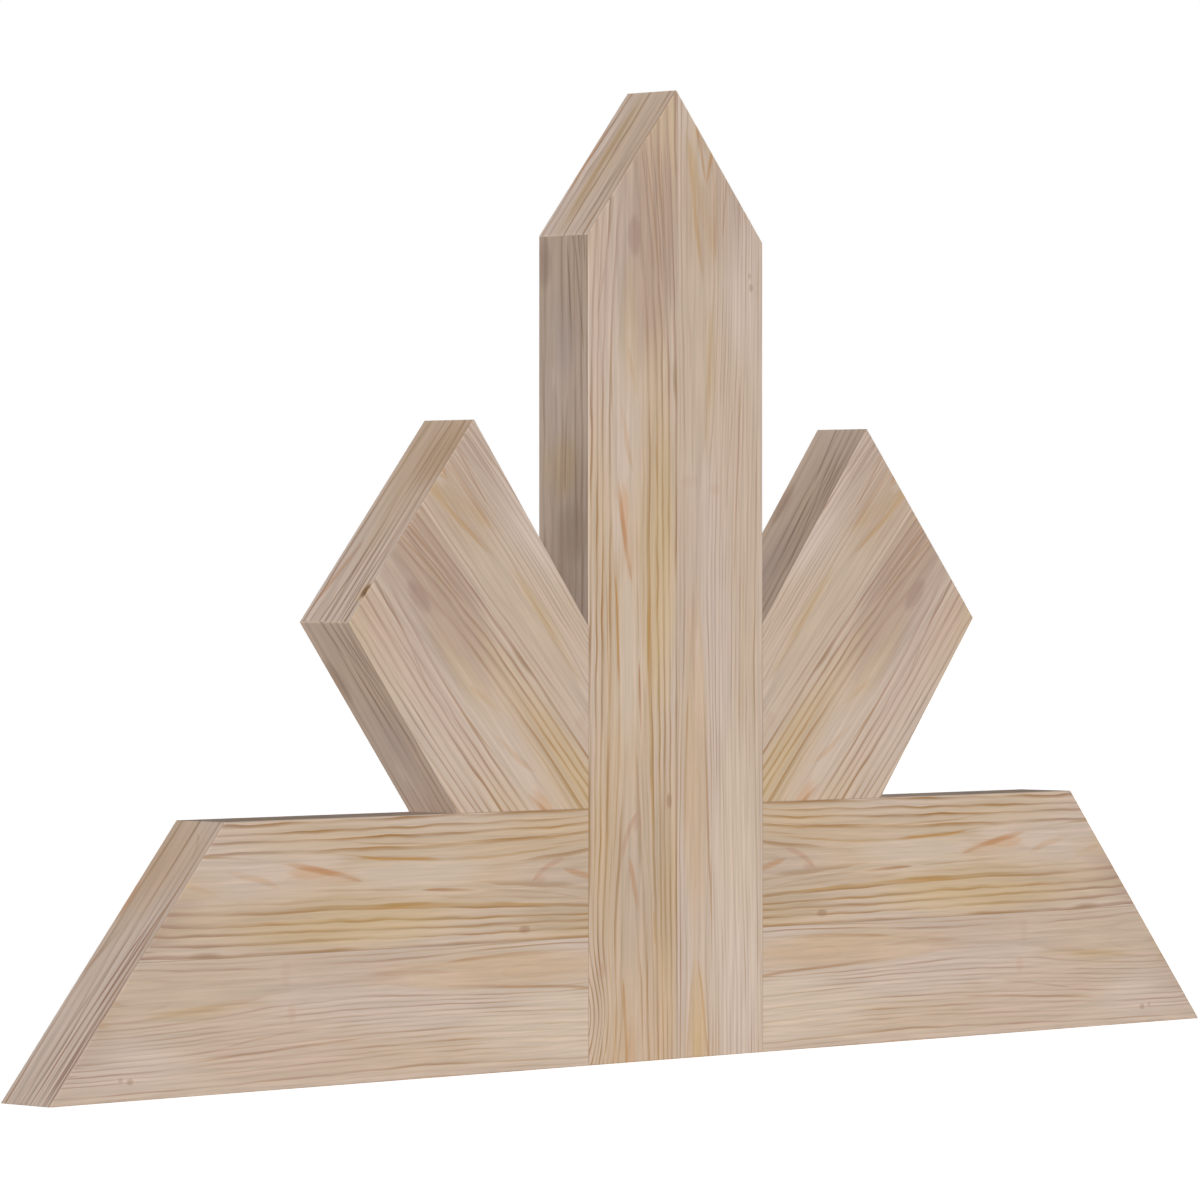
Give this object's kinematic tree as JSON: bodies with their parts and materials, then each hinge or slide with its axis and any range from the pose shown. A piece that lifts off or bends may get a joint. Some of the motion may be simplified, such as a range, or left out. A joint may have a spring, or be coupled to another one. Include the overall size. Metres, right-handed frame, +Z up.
{
  "type": "decorative gable truss",
  "caption": "Timber gable truss: a pointed king post, a bottom chord and two-way diagonal struts, edge-glued from surfaced fir boards and cut to a steep roof line to dress a gable end.",
  "frame": {"origin": "bottom centre of the truss: middle of the king post's foot, half way through the thickness", "axes": "+X along the bottom chord, +Y towards the wall behind the truss, +Z up"},
  "size_m": [0.9138, 0.0382, 0.5334],
  "materials": {
    "surfaced_fir": "planed, unfinished",
    "beech_dowel": "turned, fluted"
  },
  "bodies": {
    "root": {"king_post_left_stave": "surfaced_fir", "king_post_right_stave": "surfaced_fir", "left_chord_upper_stave": "surfaced_fir", "left_chord_lower_stave": "surfaced_fir", "left_strut_upper_stave": "surfaced_fir", "left_strut_lower_stave": "surfaced_fir", "right_chord_upper_stave": "surfaced_fir", "right_chord_lower_stave": "surfaced_fir", "right_strut_upper_stave": "surfaced_fir", "right_strut_lower_stave": "surfaced_fir", "left_chord_upper_dowel": "beech_dowel", "left_chord_lower_dowel": "beech_dowel", "left_strut_post_dowel": "beech_dowel", "left_strut_chord_dowel": "beech_dowel", "right_chord_upper_dowel": "beech_dowel", "right_chord_lower_dowel": "beech_dowel", "right_strut_post_dowel": "beech_dowel", "right_strut_chord_dowel": "beech_dowel"}
  },
  "joints": []
}
